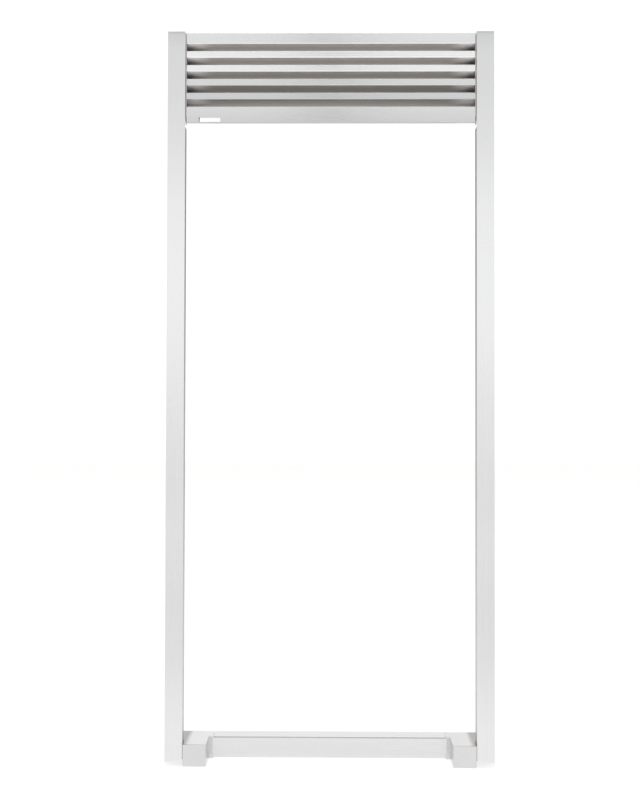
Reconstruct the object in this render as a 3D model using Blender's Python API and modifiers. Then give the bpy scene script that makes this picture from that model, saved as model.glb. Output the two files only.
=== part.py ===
"""Louvered trim frame that closes the gap round a built-in appliance.

Folded brushed-steel side trims stand on two box-shaped toe corners.  A louvered
grille hangs between them at the top on two pivot pins and swings forward, and a
recessed toe-kick bar slides out forward between the corners.

Metres, +Z up.  The floor is z = 0, the front faces -Y, and the origin is at floor
level in the middle of the frame's width and depth.
"""
import math

import bmesh
import bpy
from mathutils import Matrix, Vector

# Overall sizes
OVERALL_WIDTH = 0.850
OVERALL_HEIGHT = 1.905
OVERALL_DEPTH = 0.095

# Sheet metal
SHEET = 0.0012
BEND_RADIUS = 0.0016
BEND_SEGMENTS = 2
TOUCH_GAP = 0.0003

# Side trims
TRIM_FACE_WIDTH = 0.046
TRIM_INNER_RETURN = 0.024
TRIM_MOUNTING_LEG = 0.090
TRIM_EAR_SHORT_OF_HEADER = 0.003
TRIM_EAR_LIFT = 0.024
RELIEF_NOTCH_HEIGHT = 0.011
RELIEF_NOTCH_GAP = 0.002
TRIM_END_LIFT = 0.012
TRIM_END_SLANT = 0.0065
LEG_HOLE_RADIUS = 0.0025
LEG_HOLE_DEPTH = 0.070
LEG_HOLE_COUNT = 5
LEG_HOLE_MARGIN = 0.150

# Louvered grille
GRILLE_RECESS = 0.0085
GRILLE_SIDE_CLEARANCE = 0.0010
TOP_BAND_HEIGHT = 0.0271
BOTTOM_BAND_HEIGHT = 0.0425
LOUVER_GAP = 0.0205
BLADE_COUNT = 4
BLADE_FACE = 0.0160
BLADE_TOP_RETURN = 0.006
LEAF_DEPTH = 0.024
LEAF_DROP = 0.017
BOTTOM_FLANGE = 0.006
END_PLATE_DEPTH = 0.037
END_PLATE_FLANGE = 0.014
END_PLATE_LIFT = 0.0145

# Finger slot in the grille's bottom band
SLOT_WIDTH = 0.056
SLOT_HEIGHT = 0.012
SLOT_FROM_TRIM = 0.0345
SLOT_ABOVE_EDGE = 0.0018
LINER_DEPTH = 0.006
LINER_WALL = 0.001

# Grille pivots and stops
PIN_RADIUS = 0.0025
PIN_RUNNING_CLEARANCE = 0.00015
PIN_HEAD_RADIUS = 0.0045
PIN_HEAD_HEIGHT = 0.0015
PIN_DEPTH = 0.032
PIN_BELOW_TOP = 0.012
PIN_TAIL = 0.003
PAD_RADIUS = 0.005
PAD_LENGTH = 0.007
PAD_INSET = 0.008
STOP_HEIGHT = 0.020
STOP_ABOVE_EDGE = 0.030
STOP_REACH = 0.018
STOP_LEG = 0.020

# Header that ties the trims together behind the grille
HEADER_HEIGHT = 0.030
HEADER_DEPTH = 0.030
HEADER_GRILLE_CLEARANCE = 0.008
HEADER_BELOW_TOP = 0.002
HEADER_HOLE_COUNT = 3

# Toe corners, toe-kick bar and the tongues that carry it
TOE_HEIGHT = 0.057
TOE_FOOT_WIDTH = 0.060
TOE_RECESS = 0.055
TOE_TAB_WIDTH = 0.012
TOE_REAR_WIDENING = 0.022
TOE_REAR_CLEARANCE = 0.0024
TOE_REAR_LIFT = 0.024
TOE_BAR_END_CLEARANCE = 0.0006
TOE_BAR_LIFT = 0.0025
TOE_BAR_BOTTOM_LIP = 0.012
TONGUE_THICKNESS = 0.003
TONGUE_WIDTH = 0.024
TONGUE_SET_BACK = 0.008
TONGUE_IN_FOOT = 0.030
TONGUE_UNDER_BAR = 0.045

# Pan-head screws
SCREW_SHANK_RADIUS = 0.0018
SCREW_HEAD_RADIUS = 0.0036
SCREW_HEAD_HEIGHT = 0.0018
SCREW_LENGTH = 0.008
SCREW_HOLE_CLEARANCE = 0.0003
ROUND_STEPS = 24

# Places that follow from the sizes above
FRONT_Y = -OVERALL_DEPTH / 2
OPENING_HALF = OVERALL_WIDTH / 2 - TRIM_FACE_WIDTH
LOUVER_PITCH = BLADE_FACE + LOUVER_GAP
GRILLE_HEIGHT = (
    TOP_BAND_HEIGHT + BLADE_COUNT * LOUVER_PITCH + LOUVER_GAP + BOTTOM_BAND_HEIGHT
)
GRILLE_TOP = OVERALL_HEIGHT
GRILLE_BOTTOM = GRILLE_TOP - GRILLE_HEIGHT
GRILLE_FACE_Y = FRONT_Y + GRILLE_RECESS
END_PLATE_X = OPENING_HALF - GRILLE_SIDE_CLEARANCE
END_PLATE_BACK_Y = GRILLE_FACE_Y + END_PLATE_DEPTH
BLADE_HALF_LENGTH = END_PLATE_X - SHEET - TOUCH_GAP
HEADER_Y = END_PLATE_BACK_Y + HEADER_GRILLE_CLEARANCE
HEADER_TOP = OVERALL_HEIGHT - HEADER_BELOW_TOP
PIN_Y = FRONT_Y + PIN_DEPTH
PIN_Z = OVERALL_HEIGHT - PIN_BELOW_TOP
STOP_Z = GRILLE_BOTTOM + STOP_ABOVE_EDGE + STOP_HEIGHT / 2
TRIM_EAR_DEPTH = HEADER_Y - FRONT_Y + HEADER_DEPTH - TRIM_EAR_SHORT_OF_HEADER
STOP_Y = END_PLATE_BACK_Y + PAD_LENGTH + 2 * TOUCH_GAP
FOOT_OUTER_X = OPENING_HALF - TOUCH_GAP
TOE_REAR_Y = FRONT_Y + TRIM_INNER_RETURN + TOE_REAR_CLEARANCE
TOE_BAR_Y = FRONT_Y + TOE_RECESS
TOE_BACK_Y = FRONT_Y + OVERALL_DEPTH

SIDES = (("left", -1), ("right", 1))


def clear_scene():
    for obj in list(bpy.data.objects):
        bpy.data.objects.remove(obj, do_unlink=True)


def make_collection(name):
    collection = bpy.data.collections.new(name)
    bpy.context.scene.collection.children.link(collection)
    return collection


def make_material(name, color, roughness, metallic):
    material = bpy.data.materials.new(name)
    material.use_nodes = True
    shader = material.node_tree.nodes["Principled BSDF"]
    shader.inputs["Base Color"].default_value = (*color, 1.0)
    shader.inputs["Roughness"].default_value = roughness
    shader.inputs["Metallic"].default_value = metallic
    return material


clear_scene()
PARTS = make_collection("louvered_trim_frame")
CUTTERS = make_collection("cutters")

BRUSHED_STEEL = dict(color=(0.72, 0.72, 0.73), roughness=0.34, metallic=1.0)
PLAIN_STEEL = dict(color=(0.50, 0.49, 0.47), roughness=0.42, metallic=1.0)
ZINC = dict(color=(0.62, 0.62, 0.60), roughness=0.38, metallic=1.0)
RUBBER = dict(color=(0.03, 0.03, 0.03), roughness=0.85, metallic=0.0)


def add_object(name, mesh, finish):
    """Link a mesh as a part with a material of its own."""
    obj = bpy.data.objects.new(name, mesh)
    mesh.materials.append(make_material(name + "_finish", **finish))
    PARTS.objects.link(obj)
    return obj


def add_cutter(name, mesh):
    obj = bpy.data.objects.new(name, mesh)
    obj.hide_render = True
    obj.display_type = "WIRE"
    CUTTERS.objects.link(obj)
    return obj


def mesh_from(bm, name):
    mesh = bpy.data.meshes.new(name)
    bm.to_mesh(mesh)
    bm.free()
    return mesh


def block_cutter(name, low, high):
    """A box-shaped cutter between two opposite corners, in either order."""
    low, high = Vector(low), Vector(high)
    size = [abs(step) for step in high - low]
    bm = bmesh.new()
    bmesh.ops.create_cube(bm, size=1.0)
    bmesh.ops.scale(bm, vec=size, verts=bm.verts)
    bmesh.ops.translate(bm, vec=(low + high) / 2, verts=bm.verts)
    return add_cutter(name, mesh_from(bm, name))


def hole_cutter(name, radius, length, center, axis):
    """A round cutter centred on a point and lying along an axis."""
    bm = bmesh.new()
    bmesh.ops.create_cone(
        bm, cap_ends=True, segments=ROUND_STEPS, radius1=radius, radius2=radius, depth=length
    )
    turn = Vector((0, 0, 1)).rotation_difference(Vector(axis)).to_matrix().to_4x4()
    bm.transform(Matrix.Translation(center) @ turn)
    return add_cutter(name, mesh_from(bm, name))


def cut(obj, cutter):
    modifier = obj.modifiers.new("cut_" + cutter.name, "BOOLEAN")
    modifier.operation = "DIFFERENCE"
    modifier.solver = "EXACT"
    modifier.object = cutter


def fold_and_thicken(obj):
    """Round the bends of an open sheet surface, then thicken it behind its normals."""
    bends = obj.modifiers.new("bends", "BEVEL")
    bends.width = BEND_RADIUS
    bends.segments = BEND_SEGMENTS
    bends.limit_method = "ANGLE"
    bends.angle_limit = math.radians(25)
    wall = obj.modifiers.new("wall", "SOLIDIFY")
    wall.thickness = SHEET
    wall.offset = -1.0
    wall.use_even_offset = True


def folded_strip(name, outline, run, span, metal_side, finish):
    """A strip of sheet folded along an outline and drawn out along one axis.

    outline holds (a, b) points in the plane across the run: (x, y) for a run along
    Z, or (y, z) for a run along X.  metal_side is a point of that plane on the side
    of the first stretch where the metal lies.
    """
    bm = bmesh.new()
    start, end = span
    if run == "Z":
        points = [Vector((a, b, start)) for a, b in outline]
        step = Vector((0, 0, end - start))
        inside = Vector((*metal_side, start))
    else:
        points = [Vector((start, a, b)) for a, b in outline]
        step = Vector((end - start, 0, 0))
        inside = Vector((start, *metal_side))
    verts = [bm.verts.new(p) for p in points]
    edges = [bm.edges.new(pair) for pair in zip(verts, verts[1:])]
    grown = bmesh.ops.extrude_edge_only(bm, edges=edges)
    moved = [g for g in grown["geom"] if isinstance(g, bmesh.types.BMVert)]
    bmesh.ops.translate(bm, vec=step, verts=moved)
    bmesh.ops.recalc_face_normals(bm, faces=bm.faces)
    bm.faces.ensure_lookup_table()
    first = min(bm.faces, key=lambda f: (f.calc_center_median() - (points[0] + points[1]) / 2
                                         - step / 2).length)
    toward_metal = inside - points[0]
    if first.normal.dot(toward_metal) > 0:
        bmesh.ops.reverse_faces(bm, faces=bm.faces)
    obj = add_object(name, mesh_from(bm, name), finish)
    fold_and_thicken(obj)
    return obj


def turned(name, profile, finish, origin, axis):
    """A turned piece: a (radius, height) profile spun about its own axis."""
    bm = bmesh.new()
    verts = [bm.verts.new((radius, 0, height)) for radius, height in profile]
    for pair in zip(verts, verts[1:]):
        bm.edges.new(pair)
    obj = add_object(name, mesh_from(bm, name), finish)
    spin = obj.modifiers.new("spin", "SCREW")
    spin.axis = "Z"
    spin.steps = ROUND_STEPS
    spin.render_steps = ROUND_STEPS
    spin.use_merge_vertices = True
    spin.merge_threshold = 0.00001
    obj.rotation_mode = "QUATERNION"
    obj.rotation_quaternion = Vector((0, 0, 1)).rotation_difference(Vector(axis))
    obj.location = origin
    return obj


def headed_profile(head_radius, head_height, shank_radius, shank_length):
    """Profile of a headed pin or screw, from its head's top down to its tip."""
    chamfer = shank_radius * 0.3
    crown = head_height * 0.35
    return [
        (0.0, head_height),
        (head_radius - crown, head_height),
        (head_radius, head_height - crown),
        (head_radius, 0.0),
        (shank_radius, 0.0),
        (shank_radius, chamfer - shank_length),
        (shank_radius - chamfer, -shank_length),
        (0.0, -shank_length),
    ]


def screw(name, seat, axis):
    """A pan-head screw whose head sits at seat and points along axis."""
    profile = headed_profile(SCREW_HEAD_RADIUS, SCREW_HEAD_HEIGHT, SCREW_SHANK_RADIUS, SCREW_LENGTH)
    return turned(name, profile, ZINC, seat, axis)


def cut_screw_hole(obj, seat, axis):
    radius = SCREW_SHANK_RADIUS + SCREW_HOLE_CLEARANCE
    cut(obj, hole_cutter(obj.name + "_screw_hole", radius, SCREW_LENGTH * 2, seat, axis))


# ---------------------------------------------------------------- side trims

def screw_seat(side, depth, height):
    """Where a screw's head bears on the channel side of a trim's inner return."""
    return Vector((side * (OPENING_HALF + SHEET + TOUCH_GAP), FRONT_Y + depth, height))


FOOT_SCREW_DEPTH = TRIM_INNER_RETURN * 0.55
FOOT_SCREW_HEIGHTS = {
    "lower": TOE_HEIGHT * 0.58,
    "upper": TOE_HEIGHT * 0.82,
}
HEADER_SCREW_DEPTHS = {
    "front": HEADER_Y - FRONT_Y + HEADER_DEPTH * 0.27,
    "rear": HEADER_Y - FRONT_Y + HEADER_DEPTH * 0.73,
}
HEADER_SCREW_Z = HEADER_TOP - HEADER_HEIGHT / 2
STOP_SCREW_DEPTH = STOP_Y - FRONT_Y + SHEET + STOP_LEG * 0.55


def cut_trim_end(obj, side, name):
    """Cut the trim's lower end on the slant, higher at its inner edge."""
    outer_x = side * OVERALL_WIDTH / 2
    inner_x = side * OPENING_HALF
    rise = TRIM_END_SLANT / TRIM_FACE_WIDTH
    overrun = TRIM_FACE_WIDTH
    low_x = outer_x + side * overrun
    high_x = inner_x - side * overrun
    top_at_low = TRIM_END_LIFT - rise * overrun
    top_at_high = TRIM_END_LIFT + rise * (TRIM_FACE_WIDTH + overrun)
    floor = -0.05
    corners = [(low_x, floor), (high_x, floor), (high_x, top_at_high), (low_x, top_at_low)]
    bm = bmesh.new()
    near = [bm.verts.new((x, FRONT_Y - overrun, z)) for x, z in corners]
    face = bm.faces.new(near)
    grown = bmesh.ops.extrude_face_region(bm, geom=[face])
    moved = [g for g in grown["geom"] if isinstance(g, bmesh.types.BMVert)]
    bmesh.ops.translate(bm, vec=(0, OVERALL_DEPTH + 2 * overrun, 0), verts=moved)
    bmesh.ops.recalc_face_normals(bm, faces=bm.faces)
    cut(obj, add_cutter(name + "_end_cutter", mesh_from(bm, name + "_end_cutter")))


def shape_inner_return(trim, inner, name):
    """Leave the inner return deep only behind the grille, with a notch just below it."""
    reach = TRIM_FACE_WIDTH / 3
    overrun = 0.05
    low = (inner - reach, FRONT_Y + TRIM_INNER_RETURN, -overrun)
    high = (inner + reach, FRONT_Y + TRIM_EAR_DEPTH + overrun, GRILLE_BOTTOM + TRIM_EAR_LIFT)
    cut(trim, block_cutter(name + "_return_cutter", low, high))
    notch_top = GRILLE_BOTTOM - RELIEF_NOTCH_GAP
    low = (inner - reach, FRONT_Y + BEND_RADIUS + SHEET, notch_top - RELIEF_NOTCH_HEIGHT)
    high = (inner + reach, FRONT_Y + TRIM_INNER_RETURN + overrun, notch_top)
    cut(trim, block_cutter(name + "_notch_cutter", low, high))


def side_trim(label, side):
    name = label + "_side_trim"
    outer = side * OVERALL_WIDTH / 2
    inner = side * OPENING_HALF
    outline = [
        (outer, FRONT_Y + TRIM_MOUNTING_LEG),
        (outer, FRONT_Y),
        (inner, FRONT_Y),
        (inner, FRONT_Y + TRIM_EAR_DEPTH),
    ]
    inside = ((outer + inner) / 2, FRONT_Y + TRIM_MOUNTING_LEG)
    trim = folded_strip(name, outline, "Z", (0.0, OVERALL_HEIGHT), inside, BRUSHED_STEEL)
    shape_inner_return(trim, inner, name)
    cut_trim_end(trim, side, name)
    for height in FOOT_SCREW_HEIGHTS.values():
        cut_screw_hole(trim, screw_seat(side, FOOT_SCREW_DEPTH, height), (1, 0, 0))
    for depth in HEADER_SCREW_DEPTHS.values():
        cut_screw_hole(trim, screw_seat(side, depth, HEADER_SCREW_Z), (1, 0, 0))
    cut_screw_hole(trim, screw_seat(side, STOP_SCREW_DEPTH, STOP_Z), (1, 0, 0))
    pin_hole = PIN_RADIUS + PIN_RUNNING_CLEARANCE
    cut(trim, hole_cutter(name + "_pin_hole", pin_hole, 0.02, (inner, PIN_Y, PIN_Z), (1, 0, 0)))
    spacing = (OVERALL_HEIGHT - 2 * LEG_HOLE_MARGIN) / (LEG_HOLE_COUNT - 1)
    for index in range(LEG_HOLE_COUNT):
        center = (outer, FRONT_Y + LEG_HOLE_DEPTH, LEG_HOLE_MARGIN + index * spacing)
        cutter_name = f"{name}_leg_hole_{index + 1}"
        cut(trim, hole_cutter(cutter_name, LEG_HOLE_RADIUS, 0.02, center, (1, 0, 0)))
    return trim


# ------------------------------------------------- toe corners and their screws

def toe_corner(label, side):
    """A box foot with a short tab beside the toe-kick bar, open at its back.

    Behind the trim's inner return the foot widens into the trim's channel.
    """
    name = label + "_toe_corner"
    outer = side * FOOT_OUTER_X
    foot = side * (FOOT_OUTER_X - TOE_FOOT_WIDTH)
    tab = side * (FOOT_OUTER_X - TOE_FOOT_WIDTH - TOE_TAB_WIDTH)
    plan = [
        (outer, FRONT_Y),
        (foot, FRONT_Y),
        (foot, TOE_BAR_Y),
        (tab, TOE_BAR_Y),
        (tab, TOE_BACK_Y),
        (outer + side * TOE_REAR_WIDENING, TOE_BACK_Y),
        (outer + side * TOE_REAR_WIDENING, TOE_REAR_Y),
        (outer, TOE_REAR_Y),
    ]
    bm = bmesh.new()
    base = bm.faces.new([bm.verts.new((x, y, 0.0)) for x, y in plan])
    grown = bmesh.ops.extrude_face_region(bm, geom=[base])
    moved = [g for g in grown["geom"] if isinstance(g, bmesh.types.BMVert)]
    bmesh.ops.translate(bm, vec=(0, 0, TOE_HEIGHT), verts=moved)
    bmesh.ops.recalc_face_normals(bm, faces=bm.faces)
    open_sides = []
    for face in bm.faces:
        center = face.calc_center_median()
        at_back = abs(center.y - TOE_BACK_Y) < 1e-5
        at_tab_end = abs(center.x - tab) < 1e-5
        if at_back or at_tab_end:
            open_sides.append(face)
    bmesh.ops.delete(bm, geom=open_sides, context="FACES_ONLY")
    corner = add_object(name, mesh_from(bm, name), BRUSHED_STEEL)
    fold_and_thicken(corner)
    low = (outer + side * (BEND_RADIUS + SHEET), TOE_REAR_Y - SHEET, -TOE_HEIGHT)
    high = (outer + side * TOE_REAR_WIDENING * 2, TOE_BACK_Y + SHEET, TOE_REAR_LIFT)
    cut(corner, block_cutter(name + "_rear_cutter", low, high))
    for height in FOOT_SCREW_HEIGHTS.values():
        cut_screw_hole(corner, screw_seat(side, FOOT_SCREW_DEPTH, height), (1, 0, 0))
    return corner


def toe_tongue(label, side):
    """A flat bar under the corner's top that carries the toe-kick bar's flange."""
    name = label + "_toe_tongue"
    top = TOE_HEIGHT - SHEET - TOUCH_GAP
    tab_end = FOOT_OUTER_X - TOE_FOOT_WIDTH - TOE_TAB_WIDTH
    outer = FOOT_OUTER_X - TOE_FOOT_WIDTH + TONGUE_IN_FOOT
    inner = tab_end - TONGUE_UNDER_BAR
    length = outer - inner
    bm = bmesh.new()
    bmesh.ops.create_cube(bm, size=1.0)
    bmesh.ops.scale(bm, vec=(length, TONGUE_WIDTH, TONGUE_THICKNESS), verts=bm.verts)
    center_y = TOE_BAR_Y + TONGUE_SET_BACK + TONGUE_WIDTH / 2
    tongue = add_object(name, mesh_from(bm, name), PLAIN_STEEL)
    tongue.location = (side * (outer + inner) / 2, center_y, top - TONGUE_THICKNESS / 2)
    edges = tongue.modifiers.new("edges", "BEVEL")
    edges.width = TONGUE_THICKNESS * 0.12
    edges.segments = 1
    return tongue


def toe_kick_bar():
    """The recessed bar between the toe corners, a channel open to the back."""
    half = FOOT_OUTER_X - TOE_FOOT_WIDTH - TOE_TAB_WIDTH - TOE_BAR_END_CLEARANCE
    outline = [
        (TOE_BACK_Y, TOE_HEIGHT),
        (TOE_BAR_Y, TOE_HEIGHT),
        (TOE_BAR_Y, TOE_BAR_LIFT),
        (TOE_BAR_Y + TOE_BAR_BOTTOM_LIP, TOE_BAR_LIFT),
    ]
    inside = (TOE_BACK_Y, TOE_BAR_LIFT)
    return folded_strip("toe_kick_bar", outline, "X", (-half, half), inside, BRUSHED_STEEL)


# ------------------------------------------------------------ louvered grille

def leaf_below(z):
    """The slanted leaf behind a louver gap, from an edge at height z."""
    return (GRILLE_FACE_Y + LEAF_DEPTH, z - LEAF_DROP)


def grille_strip(name, outline):
    """A folded strip of the grille, drawn out between the two end plates."""
    inside = (outline[0][0], GRILLE_BOTTOM - 1.0)
    span = (-BLADE_HALF_LENGTH, BLADE_HALF_LENGTH)
    return folded_strip(name, outline, "X", span, inside, BRUSHED_STEEL)


def grille_top_rail():
    lower = GRILLE_TOP - TOP_BAND_HEIGHT
    outline = [
        (GRILLE_FACE_Y + BLADE_TOP_RETURN, GRILLE_TOP),
        (GRILLE_FACE_Y, GRILLE_TOP),
        (GRILLE_FACE_Y, lower),
        leaf_below(lower),
    ]
    return grille_strip("grille_top_rail", outline)


def louver_blade(index):
    upper = GRILLE_TOP - TOP_BAND_HEIGHT - LOUVER_GAP - (index - 1) * LOUVER_PITCH
    lower = upper - BLADE_FACE
    outline = [
        (GRILLE_FACE_Y + BLADE_TOP_RETURN, upper),
        (GRILLE_FACE_Y, upper),
        (GRILLE_FACE_Y, lower),
        leaf_below(lower),
    ]
    return grille_strip(f"louver_blade_{index}", outline)


SLOT_CENTER = Vector((
    -(OPENING_HALF - SLOT_FROM_TRIM - SLOT_WIDTH / 2),
    GRILLE_FACE_Y,
    GRILLE_BOTTOM + SLOT_ABOVE_EDGE + SLOT_HEIGHT / 2,
))


def grille_bottom_rail():
    upper = GRILLE_BOTTOM + BOTTOM_BAND_HEIGHT
    outline = [
        (GRILLE_FACE_Y + BLADE_TOP_RETURN, upper),
        (GRILLE_FACE_Y, upper),
        (GRILLE_FACE_Y, GRILLE_BOTTOM),
        (GRILLE_FACE_Y + BOTTOM_FLANGE, GRILLE_BOTTOM),
    ]
    rail = grille_strip("grille_bottom_rail", outline)
    half = Vector((SLOT_WIDTH / 2, SHEET * 3, SLOT_HEIGHT / 2))
    cut(rail, block_cutter("finger_slot_cutter", SLOT_CENTER - half, SLOT_CENTER + half))
    return rail


def finger_slot_liner():
    """A thin-walled sleeve that lines the finger slot."""
    width = SLOT_WIDTH - 2 * TOUCH_GAP
    height = SLOT_HEIGHT - 2 * TOUCH_GAP
    bm = bmesh.new()
    bmesh.ops.create_cube(bm, size=1.0)
    bmesh.ops.scale(bm, vec=(width, LINER_DEPTH, height), verts=bm.verts)
    ends = [face for face in bm.faces if abs(face.normal.y) > 0.5]
    bmesh.ops.delete(bm, geom=ends, context="FACES_ONLY")
    liner = add_object("finger_slot_liner", mesh_from(bm, "finger_slot_liner"), PLAIN_STEEL)
    liner.location = SLOT_CENTER + Vector((0, LINER_DEPTH / 2, 0))
    wall = liner.modifiers.new("wall", "SOLIDIFY")
    wall.thickness = LINER_WALL
    wall.offset = -1.0
    wall.use_even_offset = True
    return liner


def grille_end_plate(label, side):
    """The upright that the rails and blades are welded to, with a rear flange."""
    name = f"grille_end_plate_{label}"
    outer = side * END_PLATE_X
    outline = [
        (outer, GRILLE_FACE_Y),
        (outer, END_PLATE_BACK_Y),
        (outer - side * END_PLATE_FLANGE, END_PLATE_BACK_Y),
    ]
    span = (GRILLE_BOTTOM + END_PLATE_LIFT, GRILLE_TOP - TOUCH_GAP)
    plate = folded_strip(name, outline, "Z", span, (0.0, GRILLE_FACE_Y), BRUSHED_STEEL)
    hole = PIN_RADIUS + PIN_RUNNING_CLEARANCE
    cut(plate, hole_cutter(name + "_pin_hole", hole, 0.01, (outer, PIN_Y, PIN_Z), (1, 0, 0)))
    return plate


def grille_pivot_pin(label, side):
    """A headed pin from the trim's ear through the grille's end plate."""
    seat = screw_seat(side, PIN_DEPTH, PIN_Z)
    length = SHEET + TOUCH_GAP + GRILLE_SIDE_CLEARANCE + SHEET + PIN_TAIL
    profile = headed_profile(PIN_HEAD_RADIUS, PIN_HEAD_HEIGHT, PIN_RADIUS, length)
    return turned(f"grille_pivot_pin_{label}", profile, ZINC, seat, (side, 0, 0))


def grille_stop_bracket(label, side):
    """A folded angle on the trim's ear that carries the grille's rubber stop."""
    name = f"grille_stop_bracket_{label}"
    face = side * (OPENING_HALF - TOUCH_GAP)
    outline = [
        (face, STOP_Y + STOP_LEG),
        (face, STOP_Y),
        (face - side * STOP_REACH, STOP_Y),
    ]
    span = (STOP_Z - STOP_HEIGHT / 2, STOP_Z + STOP_HEIGHT / 2)
    bracket = folded_strip(name, outline, "Z", span, (0.0, STOP_Y + STOP_LEG), PLAIN_STEEL)
    cut_screw_hole(bracket, screw_seat(side, STOP_SCREW_DEPTH, STOP_Z), (1, 0, 0))
    return bracket


def grille_stop_pad(label, side):
    """The rubber stop between the end plate's rear flange and its bracket."""
    edge = PAD_RADIUS * 0.2
    profile = [
        (0.0, PAD_LENGTH),
        (PAD_RADIUS - edge, PAD_LENGTH),
        (PAD_RADIUS, PAD_LENGTH - edge),
        (PAD_RADIUS, 0.0),
        (0.0, 0.0),
    ]
    back = (side * (END_PLATE_X - PAD_INSET), STOP_Y - TOUCH_GAP, STOP_Z)
    return turned(f"grille_stop_pad_{label}", profile, RUBBER, back, (0, -1, 0))


# ------------------------------------------------------------------- header

def header():
    """The tray-shaped header that ties the trims together and screws up overhead."""
    half = OPENING_HALF - TOUCH_GAP
    low = Vector((-half, HEADER_Y, HEADER_TOP - HEADER_HEIGHT))
    high = Vector((half, HEADER_Y + HEADER_DEPTH, HEADER_TOP))
    bm = bmesh.new()
    bmesh.ops.create_cube(bm, size=1.0)
    bmesh.ops.scale(bm, vec=high - low, verts=bm.verts)
    bmesh.ops.translate(bm, vec=(low + high) / 2, verts=bm.verts)
    bmesh.ops.recalc_face_normals(bm, faces=bm.faces)
    open_sides = [face for face in bm.faces if face.normal.y > 0.5 or face.normal.z < -0.5]
    bmesh.ops.delete(bm, geom=open_sides, context="FACES_ONLY")
    piece = add_object("top_header", mesh_from(bm, "top_header"), PLAIN_STEEL)
    fold_and_thicken(piece)
    for side in (-1, 1):
        for depth in HEADER_SCREW_DEPTHS.values():
            cut_screw_hole(piece, screw_seat(side, depth, HEADER_SCREW_Z), (1, 0, 0))
    for index in range(HEADER_HOLE_COUNT):
        x = half * (2 * (index + 0.5) / HEADER_HOLE_COUNT - 1)
        center = (x, HEADER_Y + HEADER_DEPTH / 2, HEADER_TOP)
        cutter_name = f"header_hole_{index + 1}"
        cut(piece, hole_cutter(cutter_name, LEG_HOLE_RADIUS, 0.02, center, (0, 0, 1)))
    return piece


# ----------------------------------------------------------------- assembly

for trim_label, trim_side in SIDES:
    side_trim(trim_label, trim_side)
    toe_corner(trim_label, trim_side)
    toe_tongue(trim_label, trim_side)
    for place, screw_height in FOOT_SCREW_HEIGHTS.items():
        foot_seat = screw_seat(trim_side, FOOT_SCREW_DEPTH, screw_height)
        screw(f"foot_screw_{trim_label}_{place}", foot_seat, (trim_side, 0, 0))
    for place, screw_depth in HEADER_SCREW_DEPTHS.items():
        header_seat = screw_seat(trim_side, screw_depth, HEADER_SCREW_Z)
        screw(f"header_screw_{trim_label}_{place}", header_seat, (trim_side, 0, 0))
    stop_seat = screw_seat(trim_side, STOP_SCREW_DEPTH, STOP_Z)
    screw(f"stop_screw_{trim_label}", stop_seat, (trim_side, 0, 0))
    grille_stop_bracket(trim_label, trim_side)
    grille_stop_pad(trim_label, trim_side)
    grille_pivot_pin(trim_label, trim_side)
    grille_end_plate(trim_label, trim_side)

toe_kick_bar()
header()
grille_top_rail()
for blade_index in range(1, BLADE_COUNT + 1):
    louver_blade(blade_index)
grille_bottom_rail()
finger_slot_liner()
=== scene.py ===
import bpy
import bmesh
import math
from mathutils import Matrix, Vector


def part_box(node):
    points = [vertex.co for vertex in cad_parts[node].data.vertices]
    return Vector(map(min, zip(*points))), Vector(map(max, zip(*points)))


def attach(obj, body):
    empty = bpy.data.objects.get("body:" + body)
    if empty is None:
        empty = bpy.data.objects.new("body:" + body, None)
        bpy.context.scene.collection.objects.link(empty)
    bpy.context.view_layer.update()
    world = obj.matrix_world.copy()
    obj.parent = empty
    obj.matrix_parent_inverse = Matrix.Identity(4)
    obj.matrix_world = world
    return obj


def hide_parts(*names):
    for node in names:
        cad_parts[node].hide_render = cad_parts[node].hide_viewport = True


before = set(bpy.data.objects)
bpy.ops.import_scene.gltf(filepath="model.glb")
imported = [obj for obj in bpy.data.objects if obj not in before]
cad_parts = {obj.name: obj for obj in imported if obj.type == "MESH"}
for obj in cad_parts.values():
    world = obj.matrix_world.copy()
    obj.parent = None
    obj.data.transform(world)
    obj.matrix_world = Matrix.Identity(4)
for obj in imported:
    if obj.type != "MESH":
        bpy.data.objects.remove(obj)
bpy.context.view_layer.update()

scene = bpy.context.scene


# ---------------------------------------------------------------------------
# Studio: a pale floor under a plain white sky, one large soft box overhead,
# and a camera a little under chest height, looking almost level.
# ---------------------------------------------------------------------------

class Wire:
    """One output of a node; sums written on it add Math nodes to its tree."""

    def __init__(self, board, socket):
        self.board = board
        self.socket = socket

    def maths(self, operation, *values):
        """One Math node on values or wires."""
        return self.board.node(
            "ShaderNodeMath",
            {"operation": operation},
            dict(enumerate(values)),
        )

    def __add__(self, other):
        return self.maths("ADD", self, other)

    def __radd__(self, other):
        return self.maths("ADD", other, self)

    def __sub__(self, other):
        return self.maths("SUBTRACT", self, other)

    def __rsub__(self, other):
        return self.maths("SUBTRACT", other, self)

    def __mul__(self, other):
        return self.maths("MULTIPLY", self, other)

    def __rmul__(self, other):
        return self.maths("MULTIPLY", other, self)

    def output(self, name):
        """Another output of the node that this one belongs to."""
        return Wire(self.board, self.socket.node.outputs[name])


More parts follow.
